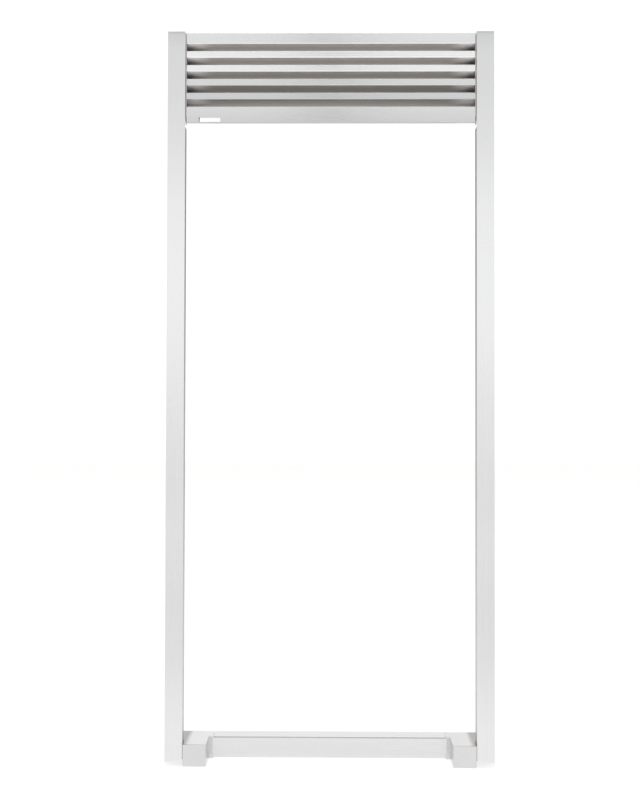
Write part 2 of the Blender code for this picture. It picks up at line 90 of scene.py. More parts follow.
class Board:
    """A node tree being wired up, for a finish or for a shape."""

    def __init__(self, tree):
        self.tree = tree
        tree.nodes.clear()

    def node(self, kind, settings=None, values=None):
        """Any node: its settings first, then the values or wires of its sockets."""
        made = self.tree.nodes.new(kind)
        for key, value in (settings or {}).items():
            if key == "stops":
                stops = made.color_ramp.elements
                while len(stops) < len(value):
                    stops.new(0.5)
                for stop, (position, shade) in zip(stops, value):
                    stop.position = position
                    stop.color = (shade, shade, shade, 1.0)
            else:
                setattr(made, key, value)
        for key, value in (values or {}).items():
            socket = made.inputs[key]
            if isinstance(value, list) and isinstance(value[0], Wire):
                for wire in value:
                    self.tree.links.new(wire.socket, socket)
            elif isinstance(value, Wire):
                self.tree.links.new(value.socket, socket)
            else:
                socket.default_value = value
        return Wire(self, next((s for s in made.outputs if s.enabled), None))

    def blend(self, amount, low, high):
        """A colour between two colours, through a Mix node."""
        mixed = self.node(
            "ShaderNodeMix",
            {"data_type": "RGBA"},
            {"Factor": amount, 6: low, 7: high},
        )
        return Wire(self, mixed.socket.node.outputs[2])

    def tint(self, colour, factor):
        """A colour times another, channel by channel."""
        return self.node(
            "ShaderNodeVectorMath",
            {"operation": "MULTIPLY"},
            {0: colour, 1: factor},
        )

    def size_of(self, value):
        """A value without its sign."""
        return self.node("ShaderNodeMath", {"operation": "ABSOLUTE"}, {0: value})

    def remap(self, value, low, high, to_low, to_high, smooth=True):
        """A value carried from one range to another and held at the ends."""
        return self.node(
            "ShaderNodeMapRange",
            {"interpolation_type": "SMOOTHSTEP" if smooth else "LINEAR"},
            {
                "Value": value,
                "From Min": low,
                "From Max": high,
                "To Min": to_low,
                "To Max": to_high,
            },
        )


SKY_STRENGTH = 2.0
SKY_BEHIND_OBJECT = 1.08
SKY_FRONT_TO_REAR = 0.15
SKY_DARKENS_FROM = 0.44
SKY_DARK_AT = 0.62
SKY_HIGH_BEHIND = (0.075, 0.068, 0.062, 1.0)
SKY_BY_HEIGHT = (
    (0.00, 1.04),
    (0.50, 1.08),
    (0.53, 1.20),
    (0.57, 1.28),
    (0.60, 1.31),
    (0.64, 1.15),
    (0.69, 1.14),
    (0.71, 0.95),
    (0.73, 0.45),
    (0.85, 0.50),
    (1.00, 0.30),
)

scene.view_settings.view_transform = "Standard"
sky = bpy.data.worlds.new("studio_sky")
sky.use_nodes = True
scene.world = sky
board = Board(sky.node_tree)
direction = board.node("ShaderNodeTexCoord").output("Generated")
across = board.node("ShaderNodeSeparateXYZ", None, {0: direction})
height = across.output("Z") * 0.5 + 0.5
front = board.node(
    "ShaderNodeValToRGB",
    {"stops": [(at, level / SKY_STRENGTH) for at, level in SKY_BY_HEIGHT]},
    {"Fac": height},
)
behind = board.remap(across.output("Y"), -SKY_FRONT_TO_REAR, SKY_FRONT_TO_REAR, 0.0, 1.0)
back_shade = (SKY_BEHIND_OBJECT / SKY_STRENGTH,) * 3 + (1.0,)
raised = board.remap(across.output("Z"), SKY_DARKENS_FROM, SKY_DARK_AT, 0.0, 1.0)
rear = board.blend(raised, back_shade, SKY_HIGH_BEHIND)
sky_shade = board.blend(behind, front, rear)
backdrop = board.node(
    "ShaderNodeBackground",
    None,
    {"Color": sky_shade, "Strength": SKY_STRENGTH},
)
board.node("ShaderNodeOutputWorld", None, {"Surface": backdrop})


def plain_mesh(name, bm):
    """A mesh from a bmesh, which is freed."""
    mesh = bpy.data.meshes.new(name)
    bm.to_mesh(mesh)
    bm.free()
    return mesh


def place(name, mesh):
    """A new object in the scene for a mesh, at the origin."""
    made = bpy.data.objects.new(name, mesh)
    scene.collection.objects.link(made)
    return made


def new_finish(name):
    """An empty finish, and the board that it is wired on."""
    finish = bpy.data.materials.new(name)
    finish.use_nodes = True
    return finish, Board(finish.node_tree)


def spot_on_piece(board):
    """Where each point of a piece lies, so that a pattern stays with the piece."""
    return board.node("ShaderNodeTexCoord").output("Object")


def coat(board, values):
    """The shader that a finish ends in, with the values or wires of its sockets."""
    surface = board.node("ShaderNodeBsdfPrincipled", None, values)
    board.node("ShaderNodeOutputMaterial", None, {"Surface": surface})


def clouds(board, where, **values):
    """A cloudy value around one half."""
    return board.node("ShaderNodeTexNoise", None, {"Vector": where, **values})


FLOOR_REACH = 14.0
FLOOR_GLOW = 0.60
FLOOR_SQUARES = 8
FLOOR_DIM = (0.77, 0.77, 0.77, 1.0)
FLOOR_PALE = (0.79, 0.79, 0.79, 1.0)
FLOOR_GLOW_COLOUR = (1.0, 1.0, 1.0, 1.0)
FLOOR_CLOUDS = {"Scale": 0.7, "Detail": 2.0}
MATT = 0.9
FLOOR_SHEEN = 0.1
bm = bmesh.new()
bmesh.ops.create_grid(
    bm,
    x_segments=FLOOR_SQUARES,
    y_segments=FLOOR_SQUARES,
    size=FLOOR_REACH,
)
floor = place("studio_floor", plain_mesh("studio_floor", bm))
floor_paint, board = new_finish("floor_paint")
cloud = clouds(board, spot_on_piece(board), **FLOOR_CLOUDS)
coat(board, {
    "Base Color": board.blend(cloud, FLOOR_DIM, FLOOR_PALE),
    "Roughness": MATT,
    "Specular IOR Level": FLOOR_SHEEN,
    "Emission Color": FLOOR_GLOW_COLOUR,
    "Emission Strength": FLOOR_GLOW,
})
floor.data.materials.append(floor_paint)


SOFT_BOX_PLACE = Vector((0.0, -1.4, 6.5))
SOFT_BOX_AIM = Vector((0.0, -0.6, 0.0))
SOFT_BOX_SIDE = 3.0
SOFT_BOX_WATTS = 60.0

lamp = bpy.data.lights.new("high_soft_box", "AREA")
lamp.shape = "RECTANGLE"
lamp.size = SOFT_BOX_SIDE
lamp.size_y = SOFT_BOX_SIDE
lamp.energy = SOFT_BOX_WATTS
soft_box = bpy.data.objects.new("high_soft_box", lamp)
soft_box.location = SOFT_BOX_PLACE
reach = SOFT_BOX_AIM - SOFT_BOX_PLACE
soft_box.rotation_euler = reach.to_track_quat("-Z", "Y").to_euler()
scene.collection.objects.link(soft_box)

# A slim grey stand hangs above the camera and shows softly in the steel.
STAND_LOW = Vector((-0.055, -2.50, 2.15))
STAND_HIGH = Vector((0.065, -2.46, 3.60))
STAND_GREY = (0.28, 0.28, 0.28, 1.0)
bm = bmesh.new()
bmesh.ops.create_cube(bm, size=1.0)
bmesh.ops.scale(bm, vec=STAND_HIGH - STAND_LOW, verts=bm.verts)
bmesh.ops.translate(bm, vec=(STAND_HIGH + STAND_LOW) / 2, verts=bm.verts)
stand = place("studio_stand", plain_mesh("studio_stand", bm))
stand.visible_camera = False
stand_paint, board = new_finish("stand_paint")
coat(board, {"Base Color": STAND_GREY, "Roughness": MATT})
stand.data.materials.append(stand_paint)

CAMERA_PLACE = Vector((-0.0084, -2.2475, 0.9116))
CAMERA_YAW = math.radians(0.464)
CAMERA_PITCH = math.radians(0.867)
CAMERA_ROLL = math.radians(0.13)
CAMERA_LENS = 38.28
CAMERA_SENSOR = 36.0

lens = bpy.data.cameras.new("camera")
lens.sensor_fit = "AUTO"
lens.sensor_width = CAMERA_SENSOR
lens.lens = CAMERA_LENS
ahead = Vector((
    -math.sin(CAMERA_YAW) * math.cos(CAMERA_PITCH),
    math.cos(CAMERA_YAW) * math.cos(CAMERA_PITCH),
    math.sin(CAMERA_PITCH),
))
level = Vector((math.cos(CAMERA_YAW), math.sin(CAMERA_YAW), 0.0))
upright = level.cross(ahead)
right = level * math.cos(CAMERA_ROLL) + upright * math.sin(CAMERA_ROLL)
up = upright * math.cos(CAMERA_ROLL) - level * math.sin(CAMERA_ROLL)
camera = bpy.data.objects.new("camera", lens)
camera.matrix_world = Matrix((
    (right.x, up.x, -ahead.x, CAMERA_PLACE.x),
    (right.y, up.y, -ahead.y, CAMERA_PLACE.y),
    (right.z, up.z, -ahead.z, CAMERA_PLACE.z),
    (0.0, 0.0, 0.0, 1.0),
))
scene.collection.objects.link(camera)
scene.camera = camera


# ---------------------------------------------------------------------------
# Side trims: 1.2 mm stainless sheet folded to a channel, the brushed grain
# running up its face, each lower end sawn on a slant. Five holes in each
# outer leg take the screws that hold it to the cabinetry.
# ---------------------------------------------------------------------------

SHEET = 0.0012
BEND = 0.0016
BEND_STEPS = 6
WELD = 1e-6
SIDES = (("left", -1), ("right", 1))
grille_low, grille_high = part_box("grille_bottom_rail")[0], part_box("grille_top_rail")[1]


def sheet_outline(name, fold, metal_side):
    """The closed outline of a folded sheet, as a mesh loop with a bend at each corner.

    fold holds the outer surface's corners in one plane, and metal_side is a
    point of that plane on the side of the first stretch where the metal lies.
    """
    line = [Vector(p) for p in fold]
    first = (line[1] - line[0]).normalized()
    normal = Vector((-first.y, first.x))
    hand = 1.0 if normal.dot(Vector(metal_side) - line[0]) > 0 else -1.0
    inner = []
    inner_bends = []
    for index, corner in enumerate(line):
        before = (corner - line[index - 1]).normalized() if index else None
        after = (line[index + 1] - corner).normalized() if index + 1 < len(line) else None
        ways = [Vector((-way.y, way.x)) * hand for way in (before, after) if way]
        if len(ways) == 1:
            inner.append(corner + ways[0] * SHEET)
            inner_bends.append(0.0)
            continue
        middle = (ways[0] + ways[1]).normalized()
        inner.append(corner + middle * (SHEET / middle.dot(ways[0])))
        turn = before.cross(after) * hand
        inner_bends.append(BEND - SHEET if turn > 0 else BEND + SHEET)
    outer_bends = [0.0] + [BEND] * (len(line) - 2) + [0.0]
    loop = line + inner[::-1]
    bends = outer_bends + inner_bends[::-1]
    # Wound the way that makes the drawn sheet face outwards.
    area = sum(a.x * b.y - b.x * a.y for a, b in zip(loop, loop[1:] + loop[:1]))
    if area < 0:
        loop.reverse()
        bends.reverse()
    mesh = bpy.data.meshes.new(name)
    count = len(loop)
    rim = [(i, (i + 1) % count) for i in range(count)]
    mesh.from_pydata([(p.x, p.y, 0.0) for p in loop], rim, [])
    mesh.attributes.new("bend", "FLOAT", "POINT").data.foreach_set("value", bends)
    return mesh


def new_shape_tree(name, sockets):
    """An empty shape tree with named inputs, and the wires from those inputs."""
    tree = bpy.data.node_groups.new(name, "GeometryNodeTree")
    tree.interface.new_socket("Geometry", in_out="INPUT", socket_type="NodeSocketGeometry")
    for label, kind in sockets:
        tree.interface.new_socket(label, in_out="INPUT", socket_type=kind)
    tree.interface.new_socket("Geometry", in_out="OUTPUT", socket_type="NodeSocketGeometry")
    board = Board(tree)
    given = board.node("NodeGroupInput")
    wires = {s.name: Wire(board, s) for s in given.socket.node.outputs if s.name}
    return tree, board, wires


folding, board, given = new_shape_tree("folded_sheet_run", [
    ("Run length", "NodeSocketFloat"),
    ("Bend steps", "NodeSocketInt"),
    ("Turn", "NodeSocketVector"),
    ("Start", "NodeSocketVector"),
    ("Copies", "NodeSocketInt"),
    ("Spacing", "NodeSocketVector"),
    ("Finish", "NodeSocketMaterial"),
])
rim = board.node("GeometryNodeMeshToCurve", None, {0: given["Geometry"]})
bend = board.node("GeometryNodeInputNamedAttribute", {"data_type": "FLOAT"}, {"Name": "bend"})
rounded = board.node(
    "GeometryNodeFilletCurve",
    {"mode": "POLY"},
    {"Curve": rim, "Radius": bend, "Count": given["Bend steps"]},
)
section = board.node("GeometryNodeFillCurve", {"mode": "NGONS"}, {0: rounded})
drawn = board.node(
    "GeometryNodeExtrudeMesh",
    {"mode": "FACES"},
    {
        "Mesh": section,
        "Offset": (0.0, 0.0, 1.0),
        "Offset Scale": given["Run length"],
        "Individual": False,
    },
)
near_end = board.node("GeometryNodeFlipFaces", None, {"Mesh": section})
whole = board.node("GeometryNodeJoinGeometry", None, {"Geometry": [drawn, near_end]})
sealed = board.node("GeometryNodeMergeByDistance", None, {"Geometry": whole, "Distance": WELD})
turned_run = board.node(
    "GeometryNodeTransform",
    None,
    {"Geometry": sealed, "Translation": given["Start"], "Rotation": given["Turn"]},
)
row = board.node(
    "GeometryNodeMeshLine",
    {"mode": "OFFSET"},
    {"Count": given["Copies"], "Offset": given["Spacing"]},
)
copies = board.node(
    "GeometryNodeInstanceOnPoints",
    None,
    {"Points": row, "Instance": turned_run},
)
realized = board.node("GeometryNodeRealizeInstances", None, {"Geometry": copies})
dressed = board.node(
    "GeometryNodeSetMaterial",
    None,
    {"Geometry": realized, "Material": given["Finish"]},
)
board.node("NodeGroupOutput", None, {0: dressed})


def settle(piece):
    """Replace a piece's mesh by what its modifiers make of it."""
    depsgraph = bpy.context.evaluated_depsgraph_get()
    depsgraph.update()
    made = bpy.data.meshes.new_from_object(piece.evaluated_get(depsgraph), depsgraph=depsgraph)
    made.name = piece.name
    piece.modifiers.clear()
    piece.data = made


def run_tree(piece, tree, **settings):
    """Run a shape tree on a piece and leave the result as its plain mesh."""
    shaper = piece.modifiers.new("shape", "NODES")
    shaper.node_group = tree
    for item in tree.interface.items_tree:
        key = item.name.lower().replace(" ", "_")
        if item.in_out == "INPUT" and key in settings:
            shaper[item.identifier] = settings[key]
    settle(piece)


SHARP_CORNER = math.radians(32.0)
FLATS_FIRST = 100


def soften(piece, sharp=SHARP_CORNER):
    """Smooth the bends and keep the flats flat."""
    piece.data.polygons.foreach_set("use_smooth", [True] * len(piece.data.polygons))
    piece.data.set_sharp_from_angle(angle=sharp)
    weigh = piece.modifiers.new("flat_first", "WEIGHTED_NORMAL")
    weigh.keep_sharp = True
    weigh.weight = FLATS_FIRST
    settle(piece)


QUARTER = math.radians(90.0)
ALONG_X = (QUARTER, 0.0, QUARTER)
UPRIGHT = (0.0, 0.0, 0.0)


def folded_piece(name, fold, metal_side, finish, span, upright=False, copies=1, pitch=0.0):
    """A folded sheet along X, or upright along Z, as one plain mesh."""
    piece = place(name, sheet_outline(name, fold, metal_side))
    start = (0.0, 0.0, span[0]) if upright else (span[0], 0.0, 0.0)
    run_tree(
        piece,
        folding,
        run_length=span[1] - span[0],
        bend_steps=BEND_STEPS,
        turn=UPRIGHT if upright else ALONG_X,
        start=start,
        copies=copies,
        spacing=(0.0, 0.0, -pitch),
        finish=finish,
    )
    return piece


def block(bm, low, high):
    """Add a closed block between two opposite corners, in either order."""
    made = bmesh.ops.create_cube(bm, size=1.0)["verts"]
    low, high = Vector(low), Vector(high)
    bmesh.ops.scale(bm, vec=[abs(step) for step in high - low], verts=made)
    bmesh.ops.translate(bm, vec=(low + high) / 2, verts=made)
    return made


def prism(bm, ring, way):
    """Add a closed solid: a ring of corners carried along a way.

    Its faces are listed in a fixed order, so that every run gives the same mesh.
    """
    near = [bm.verts.new(corner) for corner in ring]
    far = [bm.verts.new(vert.co + Vector(way)) for vert in near]
    faces = [bm.faces.new(near), bm.faces.new(far)]
    for index, vert in enumerate(near):
        before = index - 1
        faces.append(bm.faces.new((near[before], vert, far[index], far[before])))
    bmesh.ops.recalc_face_normals(bm, faces=faces)


ROUND_SIDES = 32


def drill(bm, center, radius, length):
    """Add a closed round cutter along X through a point."""
    turn = Matrix.Rotation(QUARTER, 4, "Y")
    bmesh.ops.create_cone(
        bm,
        cap_ends=True,
        segments=ROUND_SIDES,
        radius1=radius,
        radius2=radius,
        depth=length,
        matrix=Matrix.Translation(Vector(center)) @ turn,
    )


def cut_away(piece, bm):
    """Cut closed shapes out of a piece."""
    tool = place(piece.name + "_cutter", plain_mesh(piece.name + "_cutter", bm))
    saw = piece.modifiers.new("cut", "BOOLEAN")
    saw.operation = "DIFFERENCE"
    saw.solver = "EXACT"
    saw.object = tool
    settle(piece)
    bpy.data.objects.remove(tool, do_unlink=True)


FINE_STREAKS = (9.0, 1500.0, 3.0)
BROAD_STREAKS = (2.0, 160.0, 2.0)
STREAK_BREAKUP = 0.65
STREAK_DARK = (0.860, 0.863, 0.864)
STREAK_PALE = (1.100, 1.104, 1.106)
STREAK_SPREAD = 0.14
RUBBED_CLOUDS = {"Scale": 5.0, "Detail": 3.0}
RUBBED_RANGE = (0.35, 0.75)
SHADE_OF_GRAIN = (0.11, 0.055, 0.02)
ROUGHNESS_OF_GRAIN = (0.16, 0.08, 0.03)
POLISHED = 0.24
UNBRUSHED_ROUGHER = 0.10
GRAIN_RELIEF = 0.22
GRAIN_DEPTH = 0.00012
BROAD_RELIEF = 0.5
SHADE_ROOM = 2.0


def relief(board, strength, depth, height):
    """Fine relief that catches the light."""
    return board.node(
        "ShaderNodeBump",
        None,
        {"Strength": strength, "Distance": depth, "Height": height},
    )


def brushed_steel(name, grain, tone=0.72, painted_light_by_height=None, hidden=None):
    """Brushed stainless: fine streaks along one axis over a slow, cloudy drift.

    painted_light_by_height lists (height, factor) pairs: painted reflections and shade that
    brighten or darken each height of a piece.
    hidden says which part behind the face was never brushed, and the painted shade and
    highlights it is given there.
    """
    made, board = new_finish(name)
    where = spot_on_piece(board)

    def streaks(along, across, detail):
        """Noise drawn out along the grain."""
        stretch = [across] * 3
        stretch["XYZ".index(grain)] = along
        laid = board.node("ShaderNodeMapping", None, {"Vector": where, "Scale": stretch})
        return clouds(board, laid, Scale=1.0, Detail=detail, Roughness=STREAK_BREAKUP)

    fine = streaks(*FINE_STREAKS)
    broad = streaks(*BROAD_STREAKS)
    rubbed = board.remap(clouds(board, where, **RUBBED_CLOUDS), *RUBBED_RANGE, 0.0, 1.0)

    def grain_of(shares):
        """How far the grain lifts or lowers a value."""
        return (fine - 0.5) * shares[0] + (broad - 0.5) * shares[1] + rubbed * shares[2]

    low = [tone * part for part in STREAK_DARK] + [1.0]
    high = [tone * part for part in STREAK_PALE] + [1.0]
    shade = grain_of(SHADE_OF_GRAIN)
    spread = board.remap(shade, -STREAK_SPREAD, STREAK_SPREAD, 0.0, 1.0, False)
    colour = board.blend(spread, low, high)
    placed = board.node("ShaderNodeSeparateXYZ", None, {0: where})
    # Painted reflections and shade: the colour is scaled by a factor for each height on the
    # piece.
    if painted_light_by_height:
        lowest, highest = painted_light_by_height[0][0], painted_light_by_height[-1][0]
        level = board.node(
            "ShaderNodeValToRGB",
            {
                "stops": [
                    ((at - lowest) / (highest - lowest), factor / SHADE_ROOM)
                    for at, factor in painted_light_by_height
                ],
            },
            {"Fac": board.remap(placed.output("Z"), lowest, highest, 0.0, 1.0, False)},
        )
        factor = board.node(
            "ShaderNodeVectorMath",
            {"operation": "SCALE"},
            {"Vector": level, "Scale": SHADE_ROOM},
        )
        colour = board.tint(colour, factor)
    roughness = grain_of(ROUGHNESS_OF_GRAIN) + POLISHED
    # Painted shade and highlights on the hidden faces, with a rougher, unbrushed surface.
    if hidden:
        behind, painted_shading = hidden(board, where, placed)
        colour = board.blend(behind, colour, painted_shading)
        roughness = roughness + behind * UNBRUSHED_ROUGHER
    coat(board, {
        "Base Color": colour,
        "Metallic": 1.0,
        "Roughness": roughness,
        "Normal": relief(board, GRAIN_RELIEF, GRAIN_DEPTH, fine + broad * BROAD_RELIEF),
    })
    return made


BLOTCHES = {"Scale": 26.0, "Detail": 4.0, "Roughness": 0.6}


def wandering_shade_edge(board, where, depth):
    """How far the cloudy edge of a painted shade or highlight wanders either way."""
    return (clouds(board, where, **BLOTCHES) - 0.5) * depth


RETURN_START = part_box("left_side_trim")[0].y + BEND
RETURN_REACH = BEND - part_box("left_side_trim")[1].x
RETURN_EDGE = 0.0004
RETURN_FADE = 0.0012
RETURN_SHADE_WANDER = 0.35
RETURN_HIGHLIGHT_DEPTH = (grille_low.y + 0.007, grille_low.y + 0.005)
RETURN_HIGHLIGHT_HEIGHT = (grille_low.z - 0.004, grille_low.z)
RETURN_PALES_BELOW = 0.15
RETURN_DARK_ABOVE = 1.50
RETURN_PAINTED_SHADE_HIGH = (0.085, 0.075, 0.068, 1.0)
RETURN_PAINTED_SHADE_LOW = (0.46, 0.45, 0.44, 1.0)
RETURN_PAINTED_HIGHLIGHT = (0.95, 0.94, 0.93, 1.0)
# Painted reflections: how bright the trims' face is at each height, in place of reflected
# light, with painted shade in a dark band at the very top.
TRIM_PAINTED_LIGHT_BY_HEIGHT = (
    (0.000, 1.07),
    (0.100, 1.06),
    (0.280, 0.96),
    (0.410, 0.93),
    (0.600, 0.98),
    (0.730, 0.96),
    (0.950, 0.98),
    (1.100, 1.01),
    (1.450, 1.00),
    (1.620, 0.96),
    (1.740, 0.96),
    (1.860, 1.03),
    (1.885, 1.00),
    (1.899, 0.97),
    (1.902, 0.87),
    (1.905, 0.80),
)


def inner_return(board, where, placed):
    """The trims' narrow inner return: never brushed, with painted shade that darkens it up high
    and a painted highlight beside the grille.
    """
    across = board.size_of(placed.output("X"))
    inside = board.remap(across, RETURN_REACH - RETURN_EDGE, RETURN_REACH, 1.0, 0.0)
    depth = placed.output("Y")
    back = board.remap(depth, RETURN_START, RETURN_START + RETURN_FADE, 0.0, 1.0)
    # Painted shade: light low down, near black up high, with a wandering edge.
    rise = placed.output("Z") + wandering_shade_edge(board, where, RETURN_SHADE_WANDER)
    height = board.remap(rise, RETURN_PALES_BELOW, RETURN_DARK_ABOVE, 0.0, 1.0)
    colour = board.blend(height, RETURN_PAINTED_SHADE_LOW, RETURN_PAINTED_SHADE_HIGH)
    # Painted highlight on the return's front edge beside and above the grille's lower edge.
    shallow = board.remap(depth, *RETURN_HIGHLIGHT_DEPTH, 0.0, 1.0)
    beside = board.remap(placed.output("Z"), *RETURN_HIGHLIGHT_HEIGHT, 0.0, 1.0)
    return inside * back, board.blend(shallow * beside, colour, RETURN_PAINTED_HIGHLIGHT)


upright_grain = brushed_steel(
    "brushed_stainless_upright",
    "Z",
    painted_light_by_height=TRIM_PAINTED_LIGHT_BY_HEIGHT,
    hidden=inner_return,
)
TRIM_RETURN = 0.024
TRIM_END_LIFT = 0.012
TRIM_END_SLANT = 0.0065
TRIM_EAR_LIFT = 0.024
NOTCH_HEIGHT = 0.011
NOTCH_GAP = 0.002
LEG_HOLES = 5
LEG_HOLE_RADIUS = 0.0025
LEG_HOLE_MARGIN = 0.150
LEG_HOLE_DEPTH = 0.070
PIN_HOLE = 0.00265
SCREW_HOLE = 0.0021
DEEP_DRILL = 0.02
SHORT_DRILL = 0.01
OVERCUT = 0.05
RETURN_CUT = 0.015
EAR_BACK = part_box("top_header")[1].y - 0.003
SCREW_NODES = [n for n in sorted(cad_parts) if "_screw_" in n]


def seat_of(node):
    """The middle of a fastener."""
    low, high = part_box(node)
    return (low + high) / 2


SCREW_SEATS = [seat_of(n) for n in SCREW_NODES]


def side_trim(label, side):
    """A whole trim: the folded channel, its short return, ear, notch, slant and holes."""
    low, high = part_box(label + "_side_trim")
    outer = low.x if side < 0 else high.x
    inner = high.x if side < 0 else low.x
    front, back, top = low.y, high.y, high.z
    fold = [(outer, back), (outer, front), (inner, front), (inner, EAR_BACK)]
    name = label + "_side_trim_folded"
    middle = ((outer + inner) / 2, back)
    piece = folded_piece(name, fold, middle, upright_grain, (0.0, top), upright=True)
    bm = bmesh.new()
    block(
        bm,
        (inner - RETURN_CUT, front + TRIM_RETURN, -OVERCUT),
        (inner + RETURN_CUT, back + OVERCUT, grille_low.z + TRIM_EAR_LIFT),
    )
    cut_away(piece, bm)
    notch_top = grille_low.z - NOTCH_GAP
    bm = bmesh.new()
    block(
        bm,
        (inner - RETURN_CUT, front + BEND + SHEET, notch_top - NOTCH_HEIGHT),
        (inner + RETURN_CUT, front + TRIM_RETURN + OVERCUT, notch_top),
    )
    width = abs(outer - inner)
    rise = TRIM_END_SLANT / width
    slant = [
        (outer + side * OVERCUT, -OVERCUT),
        (inner - side * OVERCUT, -OVERCUT),
        (inner - side * OVERCUT, TRIM_END_LIFT + rise * (width + OVERCUT)),
        (outer + side * OVERCUT, TRIM_END_LIFT - rise * OVERCUT),
    ]
    saw_start = [(x, front - OVERCUT, z) for x, z in slant]
    prism(bm, saw_start, (0.0, back - front + 2 * OVERCUT, 0.0))
    spacing = (top - 2 * LEG_HOLE_MARGIN) / (LEG_HOLES - 1)
    for index in range(LEG_HOLES):
        center = (outer, front + LEG_HOLE_DEPTH, LEG_HOLE_MARGIN + index * spacing)
        drill(bm, center, LEG_HOLE_RADIUS, DEEP_DRILL)
    for seat in SCREW_SEATS:
        if seat.x * side > 0:
            drill(bm, seat, SCREW_HOLE, SHORT_DRILL)
    pin = seat_of("grille_pivot_pin_" + label)
    drill(bm, (inner, pin.y, pin.z), PIN_HOLE, DEEP_DRILL)
    cut_away(piece, bm)
    soften(piece)
    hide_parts(label + "_side_trim")
    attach(piece, "frame")


for label, side in SIDES:
    side_trim(label, side)


# ---------------------------------------------------------------------------
# Louvered grille: a top rail, four blades and a bottom rail, each one folded
# strip of brushed stainless with its grain running across. Every strip but the
# last sends a sloping leaf back behind the gap below it. One group swings.
# ---------------------------------------------------------------------------

LEAF_START = grille_low.y + 0.0010
LEAF_TURNED_IN = 0.0022
LEAF_NEAR = 0.0060
LEAF_FAR_FROM = 0.009
LEAF_FAR = 0.018
LEAF_SHADE_WANDER = 0.004
LEAF_PAINTED_SHADE_TOP = (0.30, 0.28, 0.262, 1.0)
LEAF_PAINTED_SHADE_MIDDLE = (0.52, 0.495, 0.475, 1.0)
LEAF_PAINTED_SHADE_BOTTOM = (0.58, 0.56, 0.54, 1.0)
LEAF_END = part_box("louver_blade_1")[1].x
LEAF_END_PAINTED_LIGHT = (0.68, 0.66, 0.65, 1.0)
LEAF_END_PAINTED_SHADE = (0.42, 0.40, 0.385, 1.0)
LEAF_END_FADES_FROM = 0.075
LEAF_END_FULL = 0.020
LEAF_END_DEEP_FROM = 0.0105
LEAF_END_DEEP = 0.0125
LOWER_LEAVES = (1.83, 1.70)
LOWER_PAINTED_SHADE = (0.57, 0.56, 0.55, 1.0)
LOWER_END_PAINTED_SHADE = (0.74, 0.73, 0.72, 1.0)
FULL_TINT = (1.0, 1.0, 1.0, 1.0)
# Painted reflections: how bright each strip of the grille is at its height, lighter for the
# upper blades and darker low down.
STRIP_PAINTED_LIGHT_BY_HEIGHT = (
    (grille_low.z, 0.83),
    (grille_low.z + 0.0425, 0.95),
    (1.727, 0.84),
    (1.750, 0.87),
    (1.763, 0.93),
    (1.787, 0.97),
    (1.801, 1.20),
    (1.821, 1.22),
    (1.846, 1.25),
    (1.858, 1.25),
    (1.876, 1.13),
    (grille_high.z, 1.18),
)


def louver_leaf(board, where, placed):
    """The leaves behind the gaps: painted shade, dark at the top and paler further back, darker
    in the lower gaps, and painted reflections, light then dark, near their ends.
    """
    # Painted shade and reflections, set by depth behind the face, height down the grille and
    # nearness to the ends.
    depth = placed.output("Y") - LEAF_START
    cloudy = wandering_shade_edge(board, where, LEAF_SHADE_WANDER)
    behind = board.remap(depth, 0.0, LEAF_TURNED_IN, 0.0, 1.0)
    first = board.remap(depth + cloudy, 0.0, LEAF_NEAR, 0.0, 1.0)
    last = board.remap(depth + cloudy, LEAF_FAR_FROM, LEAF_FAR, 0.0, 1.0)
    painted_shading = board.blend(last, board.blend(first, LEAF_PAINTED_SHADE_TOP, LEAF_PAINTED_SHADE_MIDDLE), LEAF_PAINTED_SHADE_BOTTOM)
    lower = board.remap(placed.output("Z"), *LOWER_LEAVES, 0.0, 1.0)
    painted_leaf_shade = board.tint(painted_shading, board.blend(lower, FULL_TINT, LOWER_PAINTED_SHADE))
    deep = board.remap(depth, LEAF_END_DEEP_FROM, LEAF_END_DEEP, 0.0, 1.0)
    end_colour = board.blend(deep, LEAF_END_PAINTED_LIGHT, LEAF_END_PAINTED_SHADE)
    end_shade = board.tint(end_colour, board.blend(lower, FULL_TINT, LOWER_END_PAINTED_SHADE))
    from_end = board.size_of(placed.output("X")) + cloudy - LEAF_END
    at_end = board.remap(from_end, -LEAF_END_FADES_FROM, -LEAF_END_FULL, 0.0, 1.0)
    return behind, board.blend(at_end, painted_leaf_shade, end_shade)


grille_grain = brushed_steel(
    "brushed_stainless_grille",
    "X",
    painted_light_by_height=STRIP_PAINTED_LIGHT_BY_HEIGHT,
    hidden=louver_leaf,
)
BLADE_NODES = [f"louver_blade_{i}" for i in range(1, 5)]
LEAF_DEPTH = 0.024
LEAF_DROP = 0.017
TOP_RETURN = 0.006


def blade_fold(front, upper, lower):
    """A strip's outer surface: a short top return, the face, the sloping leaf."""
    return [
        (front + TOP_RETURN, upper),
        (front, upper),
        (front, lower),
        (front + LEAF_DEPTH, lower - LEAF_DROP),
    ]


BELOW_THE_RETURN = Vector((0.0, -1.0))


def grille_strip(name, fold, nodes, copies=1, pitch=0.0):
    """One folded strip of the grille, or a row of them down the grille."""
    low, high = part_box(nodes[0])
    return folded_piece(
        name,
        fold,
        Vector(fold[0]) + BELOW_THE_RETURN,
        grille_grain,
        (low.x, high.x),
        copies=copies,
        pitch=pitch,
    )


def finish_grille_piece(piece, nodes):
    """Smooth a piece of the grille and let it swing with the rest."""
    soften(piece)
    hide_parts(*nodes)
    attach(piece, "grille")


grille_front = grille_low.y
top_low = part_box("grille_top_rail")[0].z + LEAF_DROP
first_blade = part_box(BLADE_NODES[0])
second_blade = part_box(BLADE_NODES[1])
blade_pitch = first_blade[1].z - second_blade[1].z
blade_face = first_blade[1].z - first_blade[0].z - LEAF_DROP

